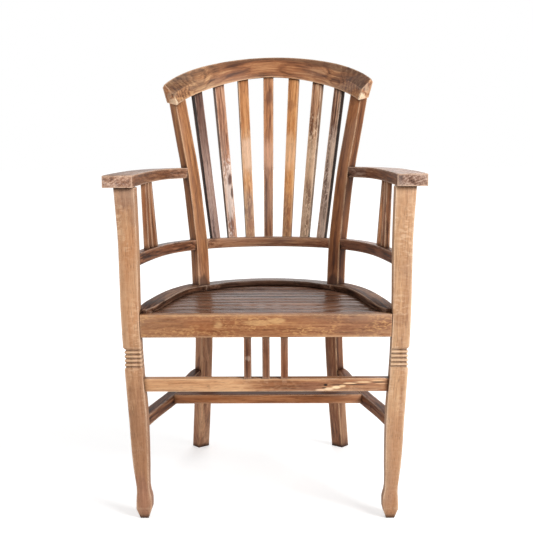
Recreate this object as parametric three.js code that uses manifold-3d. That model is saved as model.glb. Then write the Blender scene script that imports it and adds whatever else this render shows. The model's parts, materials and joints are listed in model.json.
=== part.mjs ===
// A teak armchair with a fanned slat back, curved arms and a slatted seat, framed with mortises and tenons.
// Millimetres, +Z up, the sitter faces -Y. Its origin is the middle of the box round it, on the floor.
import * as THREE from 'three';
import { mergeVertices } from 'three/addons/utils/BufferGeometryUtils.js';
import Module from 'manifold-3d';

const wasm = await Module();
wasm.setup();

// Fits that every joint shares
const CLEARANCE = 0.3; // between a tenon and its mortise, and between a shoulder and its face
const TENON_ROOT = 6; // how far a tenon is sunk back into its own piece before it is joined
const TRIM_REACH = 120; // how far a trimming cut runs past the piece that it shapes

// Seat
const SEAT_TOP = 431.7; // top of the slats and of the front rail
const SEAT_HALF_WIDTH = 265;
const SEAT_DEPTH = 479; // from the front of the legs to the back of the rim
const RAIL_BOTTOM = 384.6;
const RIM_RISE = 13; // how far the rim stands above the slats
const RIM_END_SHARE = 0.45; // of that rise, at the rim's front ends
const RIM_END_RUN_SHARE = 0.12; // of the side rail's length, over which it gains the rest
const POST_LIP = 10; // of the rim that runs on in front of the posts and behind them
const RIM_WIDTH = 37;
const REAR_RIM_WIDTH = 45;
const FRONT_RAIL_DEPTH = 22;
const FRONT_RAIL_SETBACK = 4;
const SLAT_COUNT = 9;
const SLAT_THICKNESS = 13;
const SLAT_GAP = 1.6;
const GROOVE_DEPTH = 6; // of the groove in the rim that holds the ends of the slats
const BEARER_WIDTH = 34;
const BEARER_HEIGHT = 26;

// Front legs: square, splayed outwards, with a waisted ankle and a spade foot
const LEG_HEIGHT = 690.5;
const LEG_WIDTH = 42;
const LEG_FOOT_INSET = 9; // of the middle of the foot, from the widest line of the seat
const LEG_FOOT_OUT = SEAT_HALF_WIDTH - LEG_FOOT_INSET;
const LEG_SPLAY = 26.6; // how much further out the top of the leg stands
const RING_TOP = 358.5;
const RING_PITCH = 8.75;
const RING_BEAD_SETBACK = 0.6; // how far the beads lie below the leg's own faces
const RING_BEAD_DEPTH = 3.4; // from the top of a bead to the bottom of the groove beside it
const BEADS = 4;
const LEG_BAND_SHARE = 0.84; // width of the leg at the band and at the front stretcher
const LEG_SEAT_SHARE = 0.87; // width of the leg at the seat
const LEG_SHOULDER_SHARE = 0.9; // how far back the leg's rear face lies at the side stretchers

// Back
const BACK_RAIL_BOTTOM = 527;
const BACK_RAIL_TOP = 550.3;
const BACK_RAIL_THICKNESS = 21.5;
const BACK_RAIL_RADIUS = 236;
const BACK_SLATS = 7;
const BACK_SLAT_WIDTH_LOW = 21.5;
const BACK_SLAT_WIDTH_HIGH = 26;
const BACK_SLAT_THICKNESS = 13.5;
const SLAT_SPREAD_SHARE = 1.0854; // of the even step between the posts, at the lower back rail
const CREST_THICKNESS = 24;
const CREST_TOP = 994;
const CREST_HEIGHT = 49.7; // at the middle
const CREST_TOP_FALL = 111; // of the top edge's curve, down to where it would stand upright
const CREST_TOP_SPAN_SHARE = 1.094; // half width of that curve seen from the front, in radii of the crest
const CREST_BOTTOM_FALL = 101.4; // fall of the lower edge for each radius that the crest comes forward
const CREST_BOTTOM_CURVE = 0.855; // power of that fall, below 1 so that the ends stay slim
const CREST_BOTTOM_CANT = 10; // how much higher its outer lower edge lies, by the same measure
const CREST_TILT = 4.7; // how much higher one end lies than the middle, and the other lower, a radius away
const CREST_LEAN = 17; // degrees, backwards
const CREST_END = 69.6; // degrees from the middle to each end
const CREST_TAPER_START = 44; // degrees from the middle to where the upper half of the inner face turns back
const CREST_TAPER_SHARE = 0.72; // of the thickness, lost at the top of each end
const CREST_POST_ANGLE = 62; // degrees from the middle to each post
const CREST_POST_INSET = 2.4; // from the top of the post's axis to the middle of the crest's thickness

// Rear posts: one piece from the floor to the crest, turned so that its face looks at the sitter
const POST_WIDTH = 32;
const POST_DEPTH = 27;
const POST_TURN = 40; // degrees
const POST_SIDE_INSET = 105; // of the post's axis at the seat, from the widest line of the seat
const POST_BACK_INSET = 111; // and from the back of the rim
const POST_TOP_DROP = 120; // of the end of the post's axis, below the top of the crest
const POST_TOP = CREST_TOP - POST_TOP_DROP;
const POST_FLARE = 58; // how much further out the top of the post stands than the seat
const POST_RAKE = 92; // how far the top of the post leans back from the seat
const POST_KICK = 162; // how far its foot kicks back
const POST_FOOT_FLARE = 20.5; // how much further out its foot stands than the seat
const POST_SEAT_OUT = SEAT_HALF_WIDTH - POST_SIDE_INSET;
const POST_SEAT_BACK = SEAT_DEPTH - POST_BACK_INSET;

// Arms
const ARM_BOTTOM = LEG_HEIGHT + CLEARANCE;
const ARM_THICKNESS = 24.3;
const ARM_RISE = 5.5; // how much higher the arm lies where it meets the post
const ARM_FRONT_OVERHANG = 12;
const ARM_WIDTH = 61;
const ARM_OUTER_OVERHANG = 20.8; // past the outer face of the leg
const ARM_HALF_SPAN = LEG_FOOT_OUT + LEG_SPLAY + LEG_WIDTH / 2 + ARM_OUTER_OVERHANG;
const ARM_RAIL_BOTTOM = 527;
const ARM_RAIL_TOP = 551;
const ARM_RAIL_WIDTH = 22;

// Spindles under the arms and under the seat
const SPINDLES = 3;
const SPINDLE_WIDTH = 15.2;
const SPINDLE_DEPTH = 14;
const SPINDLE_PITCH = 37.7;
const ARM_SPINDLE_WIDTH = 11.5;
const ARM_SPINDLE_FIRST_BACK = 160;
const ARM_SPINDLE_PITCH = 30;
const ARM_SPINDLE_INSET = 6.5; // from the arm's inner edge to the spindle's axis

// Stretchers
const FRONT_STRETCHER_BOTTOM = 271;
const FRONT_STRETCHER_TOP = 297.5;
const FRONT_STRETCHER_DEPTH = 22;
const SIDE_STRETCHER_BOTTOM = 188; // at the front leg
const SIDE_STRETCHER_HEIGHT = 22; // at the front leg
const SIDE_STRETCHER_REAR_HEIGHT = 28; // at the post
const SIDE_STRETCHER_RISE = 19; // how much higher it lies at the post
const SIDE_STRETCHER_WIDTH = 22;
const CROSS_STRETCHER_BOTTOM = 199.5;
const CROSS_STRETCHER_HEIGHT = 20.5;
const CROSS_STRETCHER_DEPTH = 36;
const CROSS_STRETCHER_BACK = 205; // its middle, from the front of the legs

// Tenons, as width across the grain, thickness and length
const RAIL_TENON = { width: 26, thickness: 10, length: 20 };
const ARM_TENON = { width: 20, thickness: 20, length: 14 };
const POST_TENON = { width: 18, thickness: 12, length: 20 };
const THIN_TENON = { width: 14, thickness: 8, length: 12 };
const SPINDLE_TENON = { width: 8, thickness: 8, length: 9 };
const RIM_TENON_LENGTH_SHARE = 0.3; // of the leg's width
const POST_TENON_LENGTH_SHARE = 0.38; // of the post's width

const UP = new THREE.Vector3(0, 0, 1);
const BACK = new THREE.Vector3(0, 1, 0);
const RIGHT = new THREE.Vector3(1, 0, 0);
const SIDES = { left: -1, right: 1 };

// Solids

function solidOf(geometry) {
  const plain = geometry.clone();
  plain.deleteAttribute('normal');
  plain.deleteAttribute('uv');
  const merged = mergeVertices(plain);
  const vertProperties = new Float32Array(merged.attributes.position.array);
  const triVerts = new Uint32Array(merged.index.array);
  return new wasm.Manifold(new wasm.Mesh({ numProp: 3, vertProperties, triVerts }));
}

function geometryOf(solid) {
  const mesh = solid.getMesh();
  const geometry = new THREE.BufferGeometry();
  geometry.setAttribute('position', new THREE.BufferAttribute(mesh.vertProperties, mesh.numProp));
  geometry.setIndex(new THREE.BufferAttribute(mesh.triVerts, 1));
  geometry.computeVertexNormals();
  return geometry;
}

// Skins a row of four-cornered rings, each anticlockwise about the way that the row runs.
function loft(rings) {
  const corners = rings[0].length;
  const last = (rings.length - 1) * corners;
  const index = [];
  for (let start = 0; start < last; start += corners) {
    for (let corner = 0; corner < corners; corner += 1) {
      const here = start + corner;
      const next = start + ((corner + 1) % corners);
      index.push(here, next, next + corners, here, next + corners, here + corners);
    }
  }
  for (let corner = 1; corner + 1 < corners; corner += 1) {
    index.push(0, corner + 1, corner, last, last + corner, last + corner + 1);
  }
  const geometry = new THREE.BufferGeometry();
  geometry.setFromPoints(rings.flat());
  geometry.setIndex(index);
  return solidOf(geometry);
}

// A ring's side axis crossed with its rise axis gives the way that the row of rings runs.
function ring(centre, side, rise, width, height) {
  return [[-1, -1], [1, -1], [1, 1], [-1, 1]].map(([across, up]) => centre.clone()
    .addScaledVector(side, (across * width) / 2)
    .addScaledVector(rise, (up * height) / 2));
}

function box(low, high) {
  const size = new THREE.Vector3().subVectors(high, low);
  const middle = new THREE.Vector3().addVectors(low, high).multiplyScalar(0.5);
  return solidOf(new THREE.BoxGeometry(size.x, size.y, size.z).translate(middle.x, middle.y, middle.z));
}

// A block on the given point, running from `behind` it to `length` past it along its own way.
function block(point, way, across, width, thickness, behind, length) {
  const along = way.clone().normalize();
  const third = new THREE.Vector3().crossVectors(along, across).normalize();
  const flat = new THREE.Vector3().crossVectors(third, along);
  const middle = point.clone().addScaledVector(along, (length - behind) / 2);
  const place = new THREE.Matrix4().makeBasis(flat, third, along).setPosition(middle);
  return solidOf(new THREE.BoxGeometry(width, thickness, length + behind).applyMatrix4(place));
}

// A bar of upright section along a curve seen from above; each knot is x, y and the bar's width there.
function planBar(knots, steps, bottomAt, topAt) {
  const curve = new THREE.CatmullRomCurve3(knots.map(([x, y, width]) => new THREE.Vector3(x, y, width)));
  const rings = [];
  for (let step = 0; step <= steps; step += 1) {
    const share = step / steps;
    const knot = curve.getPoint(share);
    const way = curve.getTangent(share).setZ(0).normalize();
    const side = new THREE.Vector3().crossVectors(UP, way);
    const bottom = bottomAt(share);
    const top = topAt(share);
    const centre = new THREE.Vector3(knot.x, knot.y, (bottom + top) / 2);
    rings.push(ring(centre, side, UP, knot.z, top - bottom));
  }
  return loft(rings);
}

const QUARTER_TURN = 90; // degrees

function turned(degrees) {
  return RIGHT.clone().applyAxisAngle(UP, THREE.MathUtils.degToRad(degrees));
}

// How far along a curve its points stop passing a test that they all pass at its start.
function shareWhere(curve, passes) {
  const halvings = 48;
  let low = 0;
  let high = 1;
  for (let step = 0; step < halvings; step += 1) {
    const middle = (low + high) / 2;
    if (passes(curve.getPoint(middle))) low = middle;
    else high = middle;
  }
  return low;
}

// Every piece by name, so that a joint can add to one and cut into another
const pieces = new Map();

function put(name, solid) {
  pieces.set(name, solid);
}

function cut(name, cutter) {
  pieces.set(name, pieces.get(name).subtract(cutter));
}

// A tenon on the first piece, and its mortise in the second.
function tenon(from, into, point, way, across, size) {
  const { width, thickness, length } = size;
  const gap = CLEARANCE;
  const tongue = block(point, way, across, width, thickness, TENON_ROOT, length);
  const hole = block(point, way, across, width + 2 * gap, thickness + 2 * gap, TENON_ROOT, length + gap);
  put(from, pieces.get(from).add(tongue));
  cut(into, hole);
}

// Front legs, as [share of the height, share of the splay, share of the width]
const legShares = [
  [0, 0.01, 0.4], [0.032, 0, 0.77], [0.063, -0.01, 0.76], [0.092, 0.06, 0.635], [0.162, 0.17, 0.757],
  [0.232, 0.24, 0.836], [0.298, 0.3, 0.866], [0.355, 0.38, 0.883], [0.466, 0.59, 0.857], [0.634, 0.768, 0.888],
  [0.74, 0.79, 0.9], [0.857, 0.83, 0.92], [1, 1, 1],
];
const FOOT_KNOTS = 2; // the sole and the widest line of the foot, joined by straight bevels
const LEG_STEPS = 26;

function legOut(height) {
  const share = height / LEG_HEIGHT;
  const above = legShares.findIndex(([rise]) => rise >= share);
  const [highRise, highOut] = legShares[above];
  const [lowRise, lowOut] = legShares[Math.max(above - 1, 0)];
  const part = highRise > lowRise ? (share - lowRise) / (highRise - lowRise) : 0;
  return LEG_FOOT_OUT + LEG_SPLAY * (lowOut + (highOut - lowOut) * part);
}

function legBlank(side, growWidth = 0, growDepth = 0) {
  const knots = legShares.map(([rise, out, width]) => new THREE.Vector3(
    side * (LEG_FOOT_OUT + out * LEG_SPLAY), width * LEG_WIDTH, rise * LEG_HEIGHT,
  ));
  const curve = new THREE.CatmullRomCurve3(knots.slice(FOOT_KNOTS - 1));
  const stations = [knots[0], ...curve.getPoints(LEG_STEPS)];
  return loft(stations.map(({ x, y: width, z }) => {
    const centre = new THREE.Vector3(x, LEG_WIDTH / 2, z);
    return ring(centre, RIGHT, BACK, width + growWidth, width + growDepth);
  }));
}

// What the band of beads takes off a leg's face, as [out from the face, up]: half-round beads between bevels
function bandProfile() {
  const deepest = RING_BEAD_SETBACK + RING_BEAD_DEPTH;
  const beadSteps = 8;
  const bottom = RING_TOP - BEADS * RING_PITCH;
  const profile = [[LEG_WIDTH, RING_TOP + deepest + LEG_WIDTH]];
  for (let step = 0; step <= BEADS * beadSteps; step += 1) {
    const bulge = Math.abs(Math.sin((Math.PI * step) / beadSteps));
    profile.push([RING_BEAD_DEPTH * bulge - deepest, RING_TOP - (step * RING_PITCH) / beadSteps]);
  }
  profile.push([LEG_WIDTH, bottom - deepest - LEG_WIDTH]);
  return profile;
}

// The band goes round the front and the outer face only; its two bevels rise at half a right angle.
function ringBand(side) {
  const middle = legOut(RING_TOP - (BEADS * RING_PITCH) / 2);
  const half = (LEG_BAND_SHARE * LEG_WIDTH) / 2;
  const shape = new THREE.Shape(bandProfile().map(([out, up]) => new THREE.Vector2(out, up)));
  const length = 4 * LEG_WIDTH;
  const slab = () => new THREE.ExtrudeGeometry(shape, { depth: length, bevelEnabled: false })
    .translate(0, 0, -length / 2);
  const place = (out, point) => {
    const along = new THREE.Vector3().crossVectors(out, UP);
    return solidOf(slab().applyMatrix4(new THREE.Matrix4().makeBasis(out, UP, along).setPosition(point)));
  };
  return [
    place(RIGHT.clone().multiplyScalar(side), new THREE.Vector3(side * (middle + half), LEG_WIDTH / 2, 0)),
    place(BACK.clone().negate(), new THREE.Vector3(side * middle, LEG_WIDTH / 2 - half, 0)),
  ];
}

function addFrontLegs() {
  for (const [name, side] of Object.entries(SIDES)) {
    put(`front_leg_${name}`, legBlank(side));
    ringBand(side).forEach((groove) => cut(`front_leg_${name}`, groove));
  }
}

// Rear posts, as [share of the height, out, back]; out and back are shares of the lean of that half
const postFootShares = [
  [0, 1, 1], [0.28, 0.45, 0.57], [0.56, 0.02, 0.23], [0.75, -0.18, 0.08], [0.9, -0.08, 0.015], [1, 0, 0],
];
// The last knot runs on past the crest's lower edge, and is cut off along it.
const postHeadShares = [
  [0.216, 0.08, 0.18], [0.379, 0.22, 0.36], [0.616, 0.45, 0.61], [0.796, 0.71, 0.8], [1, 1, 1],
  [1.08, 1.11, 1.08],
];
const POST_STEPS = 26;

function postCurve(side) {
  const foot = postFootShares.map(([rise, out, back]) => new THREE.Vector3(
    side * (POST_SEAT_OUT + out * POST_FOOT_FLARE),
    POST_SEAT_BACK + back * POST_KICK,
    rise * SEAT_TOP,
  ));
  const head = postHeadShares.map(([rise, out, back]) => new THREE.Vector3(
    side * (POST_SEAT_OUT + out * POST_FLARE),
    POST_SEAT_BACK + back * POST_RAKE,
    SEAT_TOP + rise * (POST_TOP - SEAT_TOP),
  ));
  return new THREE.CatmullRomCurve3([...foot, ...head]);
}

function postAxis(side, height) {
  const curve = postCurve(side);
  return curve.getPoint(shareWhere(curve, ({ z }) => z < height)).setZ(height);
}

function postBlank(side, growWidth = 0, growDepth = 0) {
  const across = turned(-side * POST_TURN);
  const inwards = turned(QUARTER_TURN - side * POST_TURN);
  return loft(postCurve(side).getPoints(POST_STEPS).map((centre) => (
    ring(centre, across, inwards, POST_WIDTH + growWidth, POST_DEPTH + growDepth))));
}

// A face of the post, as a point on it and its outward way; which is 1 for the face towards the front leg.
function postFace(side, which, height) {
  const out = turned(-side * POST_TURN).multiplyScalar(side * which);
  return { point: postAxis(side, height).addScaledVector(out, POST_WIDTH / 2), out };
}

function addRearPosts() {
  for (const [name, side] of Object.entries(SIDES)) put(`rear_post_${name}`, postBlank(side));
}

const mirrored = (side, knots) => knots.map(([x, y, width]) => [side * x, y, width]);
const level = (height) => () => height;

// What stays clear of the posts: a cut as wide as the post that runs far past its front and back
const postSlot = (side) => postBlank(side, 2 * CLEARANCE, TRIM_REACH);

// Seat rails and rim, as [share of the half width, share of the depth, share of the rim's width]
const sideRailShares = [
  [0.944, 0.02, 0.92], [0.905, 0.2, 0.98], [0.874, 0.32, 1], [0.841, 0.443, 1], [0.804, 0.543, 1],
  [0.76, 0.63, 1],
];
// The dish widens to the legs at the rim's front ends, as [share of the half width, share of the depth].
const dishCornerShares = [[0.935, 0.045], [0.915, 0.07], [0.88, 0.1], [0.856, 0.135], [0.835, 0.2]];
const RAIL_STEPS = 20;

const postLipWidth = POST_DEPTH + 2 * POST_LIP;

// The two places where a seat rail meets a post: the post's face, and just short of its middle.
function railEnd(side, which) {
  const { point, out } = postFace(side, which, SEAT_TOP);
  return { point, inside: point.clone().addScaledVector(out, (CLEARANCE - POST_WIDTH) / 2) };
}

function sideRailKnots(side) {
  const { point, inside } = railEnd(side, 1);
  return [
    ...sideRailShares.map(([x, y, width]) => [
      side * x * SEAT_HALF_WIDTH, y * SEAT_DEPTH, width * RIM_WIDTH,
    ]),
    [point.x, point.y, postLipWidth],
    [inside.x, inside.y, postLipWidth],
  ];
}

function rearRailKnots() {
  const { point, inside } = railEnd(1, -1);
  const rearShares = [[0.72, 0.53, 0.9], [0.37, 0.87, 0.98]];
  const middle = SEAT_DEPTH - REAR_RIM_WIDTH / 2;
  const right = [
    [inside.x, inside.y, postLipWidth],
    [point.x, point.y, postLipWidth],
    ...rearShares.map(([x, y, width]) => [
      x * point.x, point.y + y * (middle - point.y), width * REAR_RIM_WIDTH,
    ]),
  ];
  return [...right, [0, middle, REAR_RIM_WIDTH], ...mirrored(-1, right).reverse()];
}

function rearRailBlank(grow = 0) {
  const knots = rearRailKnots().map(([x, y, width]) => [x, y, width + grow]);
  return planBar(knots, 2 * RAIL_STEPS, level(RAIL_BOTTOM), level(SEAT_TOP + RIM_RISE));
}

// The dish inside the rim, seen from above, grown by the given amount and filled between two levels.
function dish(grow, bottom, top) {
  const inner = (knots, steps, sign) => {
    const curve = new THREE.CatmullRomCurve3(knots.map((knot) => new THREE.Vector3(...knot)));
    return curve.getPoints(steps).map((knot, step) => {
      const way = curve.getTangent(step / steps).setZ(0).normalize();
      const side = new THREE.Vector3().crossVectors(UP, way).multiplyScalar(sign * (knot.z / 2 - grow));
      return new THREE.Vector2(knot.x + side.x, knot.y + side.y);
    });
  };
  const front = FRONT_RAIL_SETBACK + FRONT_RAIL_DEPTH + CLEARANCE;
  const right = inner(sideRailKnots(1).slice(0, -1), RAIL_STEPS, 1).filter(({ y }) => y > front);
  const left = right.map(({ x, y }) => new THREE.Vector2(-x, y)).reverse();
  const rear = inner(rearRailKnots().slice(1, -1), RAIL_STEPS, 1);
  const corner = new THREE.Vector2(right[0].x, front);
  const outline = [corner, ...right, ...rear, ...left, new THREE.Vector2(-corner.x, front)];
  const shape = new THREE.Shape(outline);
  const geometry = new THREE.ExtrudeGeometry(shape, { depth: top - bottom, bevelEnabled: false });
  return solidOf(geometry.translate(0, 0, bottom));
}

// What the dish's front corner takes off the rim, above the seat.
function dishCorner(side) {
  const across = sideRailShares.at(-1)[0];
  const [near, far] = [dishCornerShares[0], dishCornerShares.at(-1)];
  const outline = [[across, near[1]], ...dishCornerShares, [across, far[1]]]
    .map(([x, y]) => new THREE.Vector2(side * x * SEAT_HALF_WIDTH, y * SEAT_DEPTH));
  const geometry = new THREE.ExtrudeGeometry(new THREE.Shape(outline), { depth: RIM_RISE, bevelEnabled: false });
  return solidOf(geometry.translate(0, 0, SEAT_TOP));
}

function addSeatRails() {
  const rimTop = (share) => SEAT_TOP + RIM_RISE
    * Math.min(RIM_END_SHARE + (1 - RIM_END_SHARE) * (share / RIM_END_RUN_SHARE), 1);
  const frontBack = FRONT_RAIL_SETBACK + FRONT_RAIL_DEPTH;
  const halfFront = legOut(SEAT_TOP) - (LEG_SEAT_SHARE * LEG_WIDTH) / 2 + TENON_ROOT;
  put('front_seat_rail', box(
    new THREE.Vector3(-halfFront, FRONT_RAIL_SETBACK, RAIL_BOTTOM),
    new THREE.Vector3(halfFront, frontBack, SEAT_TOP),
  ));
  put('rear_seat_rail', rearRailBlank());
  const groove = dish(GROOVE_DEPTH, SEAT_TOP - SLAT_THICKNESS - CLEARANCE, SEAT_TOP + CLEARANCE);
  const frontSpace = box(
    new THREE.Vector3(-SEAT_HALF_WIDTH, -TRIM_REACH, 0),
    new THREE.Vector3(SEAT_HALF_WIDTH, frontBack + CLEARANCE, LEG_HEIGHT),
  );
  for (const [name, side] of Object.entries(SIDES)) {
    const leg = legBlank(side, 2 * CLEARANCE, 2 * CLEARANCE);
    const rail = `side_seat_rail_${name}`;
    put(rail, planBar(sideRailKnots(side), RAIL_STEPS, level(RAIL_BOTTOM), rimTop));
    cut(rail, leg);
    cut(rail, frontSpace);
    const postHole = postBlank(side, 2 * CLEARANCE, 2 * CLEARANCE);
    cut(rail, postHole);
    cut(rail, groove);
    cut(rail, dishCorner(side));
    cut('front_seat_rail', leg);
    cut('rear_seat_rail', postHole);
  }
  cut('rear_seat_rail', groove);
}

// Seat slats run from side to side, their ends housed in the groove of the rim.
function addSeatSlats() {
  const front = FRONT_RAIL_SETBACK + FRONT_RAIL_DEPTH + CLEARANCE;
  const back = SEAT_DEPTH - REAR_RIM_WIDTH + GROOVE_DEPTH;
  const pitch = (back - front) / SLAT_COUNT;
  const panel = dish(GROOVE_DEPTH - CLEARANCE, SEAT_TOP - SLAT_THICKNESS, SEAT_TOP);
  for (let slat = 0; slat < SLAT_COUNT; slat += 1) {
    const start = front + slat * pitch;
    const behindPosts = start > POST_SEAT_BACK - POST_DEPTH;
    const reach = behindPosts ? POST_SEAT_OUT : SEAT_HALF_WIDTH;
    const strip = box(
      new THREE.Vector3(-reach, start, RAIL_BOTTOM),
      new THREE.Vector3(reach, start + pitch - SLAT_GAP, SEAT_TOP),
    );
    const name = `seat_slat_${slat + 1}`;
    put(name, panel.intersect(strip));
    for (const side of Object.values(SIDES)) {
      cut(name, postBlank(side, 2 * CLEARANCE, 2 * CLEARANCE));
      cut(name, legBlank(side, 2 * CLEARANCE, 2 * CLEARANCE));
    }
  }
}

function addSeatBearer() {
  const top = SEAT_TOP - SLAT_THICKNESS - CLEARANCE;
  const front = FRONT_RAIL_SETBACK + FRONT_RAIL_DEPTH + CLEARANCE;
  const back = SEAT_DEPTH - REAR_RIM_WIDTH - CLEARANCE;
  put('seat_bearer', box(
    new THREE.Vector3(-BEARER_WIDTH / 2, front, top - BEARER_HEIGHT),
    new THREE.Vector3(BEARER_WIDTH / 2, back, top),
  ));
  cut('seat_bearer', rearRailBlank(2 * CLEARANCE));
  const height = top - BEARER_HEIGHT / 2;
  tenon('seat_bearer', 'front_seat_rail', new THREE.Vector3(0, front, height),
    BACK.clone().negate(), RIGHT, THIN_TENON);
  tenon('seat_bearer', 'rear_seat_rail', new THREE.Vector3(0, back, height), BACK, RIGHT, THIN_TENON);
}

function joinSeatRails() {
  const middle = (RAIL_BOTTOM + SEAT_TOP - SLAT_THICKNESS) / 2;
  const railMiddle = FRONT_RAIL_SETBACK + FRONT_RAIL_DEPTH / 2;
  for (const [name, side] of Object.entries(SIDES)) {
    const legX = legOut(middle);
    const legInner = legX - (LEG_SEAT_SHARE * LEG_WIDTH) / 2;
    const legFace = new THREE.Vector3(side * legInner, railMiddle, middle);
    tenon('front_seat_rail', `front_leg_${name}`, legFace, RIGHT.clone().multiplyScalar(side), UP,
      { ...RAIL_TENON, length: LEG_WIDTH / 2 });
    const rim = knotAt(sideRailKnots(side), LEG_WIDTH);
    const shared = (legInner + Math.abs(rim.x) + rim.z / 2) / 2;
    const legBack = new THREE.Vector3(side * shared, LEG_WIDTH, middle);
    tenon(`side_seat_rail_${name}`, `front_leg_${name}`, legBack, BACK.clone().negate(), UP,
      { ...RAIL_TENON, length: LEG_WIDTH * RIM_TENON_LENGTH_SHARE });
    for (const [rail, which] of [[`side_seat_rail_${name}`, 1], ['rear_seat_rail', -1]]) {
      const { point, out } = postFace(side, which, middle);
      tenon(rail, `rear_post_${name}`, point.addScaledVector(out, CLEARANCE), out.negate(), UP,
        { ...RAIL_TENON, length: POST_WIDTH * POST_TENON_LENGTH_SHARE });
    }
  }
}

// Lower back rail, bowed round the sitter from post to post; postAngle is in degrees between the posts.
function backRailMiddle() {
  const { point, out } = postFace(1, -1, (BACK_RAIL_BOTTOM + BACK_RAIL_TOP) / 2);
  const fall = Math.sqrt(BACK_RAIL_RADIUS ** 2 - point.x ** 2);
  const inside = point.clone().addScaledVector(out, -POST_WIDTH / 2);
  const postAngle = 2 * THREE.MathUtils.radToDeg(Math.asin(point.x / BACK_RAIL_RADIUS));
  return { centre: point.y - fall, inside, postAngle };
}

function addBackRail() {
  const { centre, inside } = backRailMiddle();
  const reach = Math.asin(inside.x / BACK_RAIL_RADIUS);
  const knots = [];
  const arcSteps = 12;
  for (let step = 0; step <= arcSteps; step += 1) {
    const angle = reach - (2 * reach * step) / arcSteps;
    const x = BACK_RAIL_RADIUS * Math.sin(angle);
    knots.push([x, centre + BACK_RAIL_RADIUS * Math.cos(angle), BACK_RAIL_THICKNESS]);
  }
  put('lower_back_rail', planBar(knots, 2 * arcSteps, level(BACK_RAIL_BOTTOM), level(BACK_RAIL_TOP)));
  for (const [name, side] of Object.entries(SIDES)) {
    cut('lower_back_rail', postSlot(side));
    const height = (BACK_RAIL_BOTTOM + BACK_RAIL_TOP) / 2;
    const { point, out } = postFace(side, -1, height);
    tenon('lower_back_rail', `rear_post_${name}`, point.addScaledVector(out, CLEARANCE), out.negate(), UP,
      THIN_TENON);
  }
}

// Crest: a bowed board whose top and bottom edges fall as it comes forward. Its radius is that of the middle
// of its thickness along the lower edge.
const crestPostTurn = THREE.MathUtils.degToRad(CREST_POST_ANGLE);
const crestRadius = (POST_SEAT_OUT + POST_FLARE - CREST_POST_INSET) / Math.sin(crestPostTurn);
const crestCentre = POST_SEAT_BACK + POST_RAKE - crestRadius * Math.cos(crestPostTurn);

function crestEdges(degrees) {
  const angle = THREE.MathUtils.degToRad(degrees);
  const forward = 1 - Math.cos(angle);
  const tilt = CREST_TILT * Math.sin(angle);
  return {
    bottom: CREST_TOP - CREST_HEIGHT - CREST_BOTTOM_FALL * forward ** CREST_BOTTOM_CURVE + tilt,
    cant: CREST_BOTTOM_CANT * forward,
  };
}

// Seen from the front the top edge is one curve, so its height depends only on how far out it lies.
function crestTop(sideways) {
  const share = sideways / (crestRadius * CREST_TOP_SPAN_SHARE);
  const tilt = (CREST_TILT * sideways) / crestRadius;
  return CREST_TOP - CREST_TOP_FALL * (1 - Math.sqrt(Math.max(1 - share ** 2, 0))) + tilt;
}

// A point of the crest: its place out from the middle of the thickness is given in mm.
function crestPoint(degrees, height, out = 0) {
  const { bottom } = crestEdges(degrees);
  const lean = Math.tan(THREE.MathUtils.degToRad(CREST_LEAN)) * (height - bottom);
  const way = turned(QUARTER_TURN - degrees);
  return new THREE.Vector3(0, crestCentre, height).addScaledVector(way, crestRadius + lean + out);
}

const CREST_STEPS = 18; // from its middle to each end
const CREST_CAP_STEPS = 22; // the same for the cut over the posts, which runs past both ends

function crestBlank(grow = 0) {
  const rings = [];
  for (let step = CREST_STEPS; step >= -CREST_STEPS; step -= 1) {
    const degrees = (CREST_END * step) / CREST_STEPS;
    const { bottom, cant } = crestEdges(degrees);
    const half = (CREST_THICKNESS + grow) / 2;
    const turn = Math.max(Math.abs(degrees) - CREST_TAPER_START, 0) / (CREST_END - CREST_TAPER_START);
    const taper = CREST_THICKNESS * CREST_TAPER_SHARE * turn;
    const atTop = (out) => {
      const first = crestPoint(degrees, bottom + CREST_HEIGHT, out);
      return crestPoint(degrees, crestTop(first.x) + grow / 2, out);
    };
    const innerTop = atTop(taper - half);
    rings.push([
      crestPoint(degrees, bottom + cant - grow / 2, half), crestPoint(degrees, bottom - grow / 2, -half),
      crestPoint(degrees, (bottom + innerTop.z) / 2, -half), innerTop, atTop(half),
    ]);
  }
  return loft(rings);
}

// Everything over the crest's lower edge, from well inside the crest to well outside it.
function crestCap() {
  const rings = [];
  for (let step = CREST_CAP_STEPS; step >= -CREST_CAP_STEPS; step -= 1) {
    const degrees = (CREST_END * step) / CREST_STEPS;
    const { bottom, cant } = crestEdges(degrees);
    const half = CREST_THICKNESS / 2;
    const inner = crestPoint(degrees, bottom, -half).addScaledVector(UP, -CLEARANCE);
    const outer = crestPoint(degrees, bottom + cant, half).addScaledVector(UP, -CLEARANCE);
    const way = new THREE.Vector3().subVectors(outer, inner);
    const farInner = inner.clone().sub(way);
    const farOuter = outer.clone().add(way);
    const raised = (point) => point.clone().setZ(bottom + TRIM_REACH);
    rings.push([farOuter, outer, inner, farInner, raised(farInner), raised(farOuter)]);
  }
  return loft(rings);
}

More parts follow.
